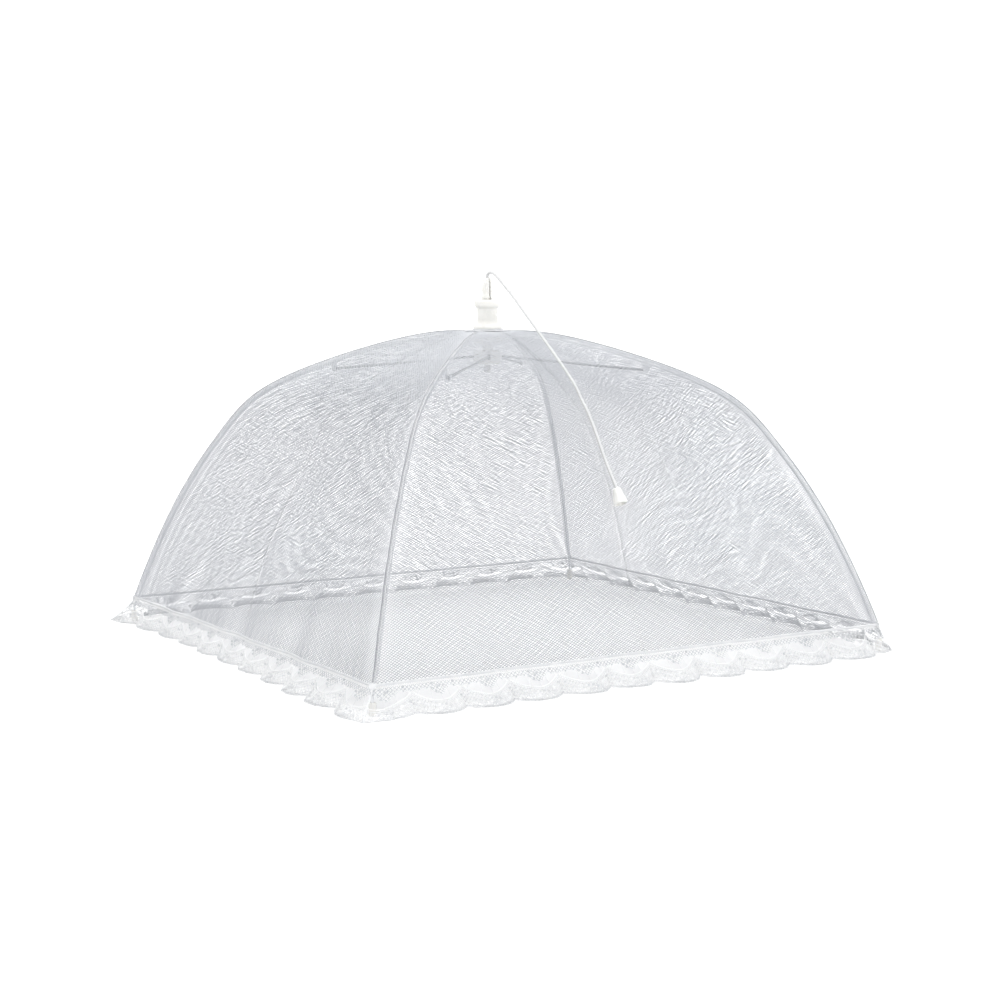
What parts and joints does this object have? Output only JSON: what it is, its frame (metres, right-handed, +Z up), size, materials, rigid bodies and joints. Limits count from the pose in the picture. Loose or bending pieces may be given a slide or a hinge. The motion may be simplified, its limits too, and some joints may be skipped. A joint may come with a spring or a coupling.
{
  "type": "food cover",
  "caption": "Pop-up square mesh food cover: a net dome with a lace hem on folding sprung wire ribs, opened by a pull cord through its crown.",
  "frame": {"origin": "centre of the square footprint, on the table it stands on", "axes": "+Z up along the crown's axis; the four sides face -Y (front), +X, +Y and -X, and the ribs run to the corners"},
  "size_m": [0.4704, 0.4704, 0.2872],
  "materials": {
    "net": "fine white polyester net, semi-transparent",
    "lace": "soft white machine lace",
    "tape": "white woven tape and net sleeve, stitched",
    "cord": "white braided cord",
    "ivory_plastic": "off-white moulded plastic, slightly translucent",
    "steel_wire": "bright drawn spring-steel wire",
    "tin": "thin pressed tinplate"
  },
  "bodies": {
    "crown": {"crown_hub": "ivory_plastic", "crown_patch": "tape", "collar": "ivory_plastic", "crown_pin_1": "steel_wire", "crown_pin_2": "steel_wire", "crown_pin_3": "steel_wire", "crown_pin_4": "steel_wire", "net_panel_front": "net", "net_panel_right": "net", "net_panel_rear": "net", "net_panel_left": "net", "hem_tape": "tape", "lace_front": "lace", "lace_right": "lace", "lace_rear": "lace", "lace_left": "lace", "pull_cord": "cord", "cord_bell": "ivory_plastic", "bell_knot": "cord"},
    "runner": {"runner": "ivory_plastic", "runner_pin_1": "steel_wire", "runner_pin_2": "steel_wire", "runner_pin_3": "steel_wire", "runner_pin_4": "steel_wire", "pull_cord_core": "cord", "runner_knot": "cord"},
    "rib_1": {"rib_1": "steel_wire", "rib_sleeve_1": "tape", "rib_clip_1": "tin", "foot_cap_1": "ivory_plastic"},
    "stretcher_1": {"stretcher_1": "steel_wire", "stretcher_rivet_1": "tin"},
    "rib_2": {"rib_2": "steel_wire", "rib_sleeve_2": "tape", "rib_clip_2": "tin", "foot_cap_2": "ivory_plastic"},
    "stretcher_2": {"stretcher_2": "steel_wire", "stretcher_rivet_2": "tin"},
    "rib_3": {"rib_3": "steel_wire", "rib_sleeve_3": "tape", "rib_clip_3": "tin", "foot_cap_3": "ivory_plastic"},
    "stretcher_3": {"stretcher_3": "steel_wire", "stretcher_rivet_3": "tin"},
    "rib_4": {"rib_4": "steel_wire", "rib_sleeve_4": "tape", "rib_clip_4": "tin", "foot_cap_4": "ivory_plastic"},
    "stretcher_4": {"stretcher_4": "steel_wire", "stretcher_rivet_4": "tin"}
  },
  "joints": [
    {"name": "runner_slide", "type": "slide", "parent": "crown", "child": "runner", "axis": [0, 0, -1], "range_m": [0, 0.19662]},
    {"name": "rib_1_fold", "type": "hinge", "parent": "crown", "child": "rib_1", "pos_m": [-0.00608, -0.00608, 0.2355], "axis": [0.7071, -0.7071, 0], "range_deg": [0, 51.6]},
    {"name": "stretcher_1_swing", "type": "hinge", "parent": "runner", "child": "stretcher_1", "pos_m": [-0.00608, -0.00608, 0.221], "axis": [-0.7071, 0.7071, 0], "range_deg": [0, 68.1]},
    {"name": "rib_2_fold", "type": "hinge", "parent": "crown", "child": "rib_2", "pos_m": [0.00608, -0.00608, 0.2355], "axis": [0.7071, 0.7071, 0], "range_deg": [0, 51.6]},
    {"name": "stretcher_2_swing", "type": "hinge", "parent": "runner", "child": "stretcher_2", "pos_m": [0.00608, -0.00608, 0.221], "axis": [-0.7071, -0.7071, 0], "range_deg": [0, 68.1]},
    {"name": "rib_3_fold", "type": "hinge", "parent": "crown", "child": "rib_3", "pos_m": [0.00608, 0.00608, 0.2355], "axis": [-0.7071, 0.7071, 0], "range_deg": [0, 51.6]},
    {"name": "stretcher_3_swing", "type": "hinge", "parent": "runner", "child": "stretcher_3", "pos_m": [0.00608, 0.00608, 0.221], "axis": [0.7071, -0.7071, 0], "range_deg": [0, 68.1]},
    {"name": "rib_4_fold", "type": "hinge", "parent": "crown", "child": "rib_4", "pos_m": [-0.00608, 0.00608, 0.2355], "axis": [-0.7071, -0.7071, 0], "range_deg": [0, 51.6]},
    {"name": "stretcher_4_swing", "type": "hinge", "parent": "runner", "child": "stretcher_4", "pos_m": [-0.00608, 0.00608, 0.221], "axis": [0.7071, 0.7071, 0], "range_deg": [0, 68.1]}
  ],
  "couplings": [
    {"joint": "rib_1_fold", "follows": "runner_slide", "rad_per_m": 4.5715},
    {"joint": "stretcher_1_swing", "follows": "runner_slide", "rad_per_m": 6.034},
    {"joint": "rib_2_fold", "follows": "runner_slide", "rad_per_m": 4.5715},
    {"joint": "stretcher_2_swing", "follows": "runner_slide", "rad_per_m": 6.034},
    {"joint": "rib_3_fold", "follows": "runner_slide", "rad_per_m": 4.5715},
    {"joint": "stretcher_3_swing", "follows": "runner_slide", "rad_per_m": 6.034},
    {"joint": "rib_4_fold", "follows": "runner_slide", "rad_per_m": 4.5715},
    {"joint": "stretcher_4_swing", "follows": "runner_slide", "rad_per_m": 6.034}
  ]
}
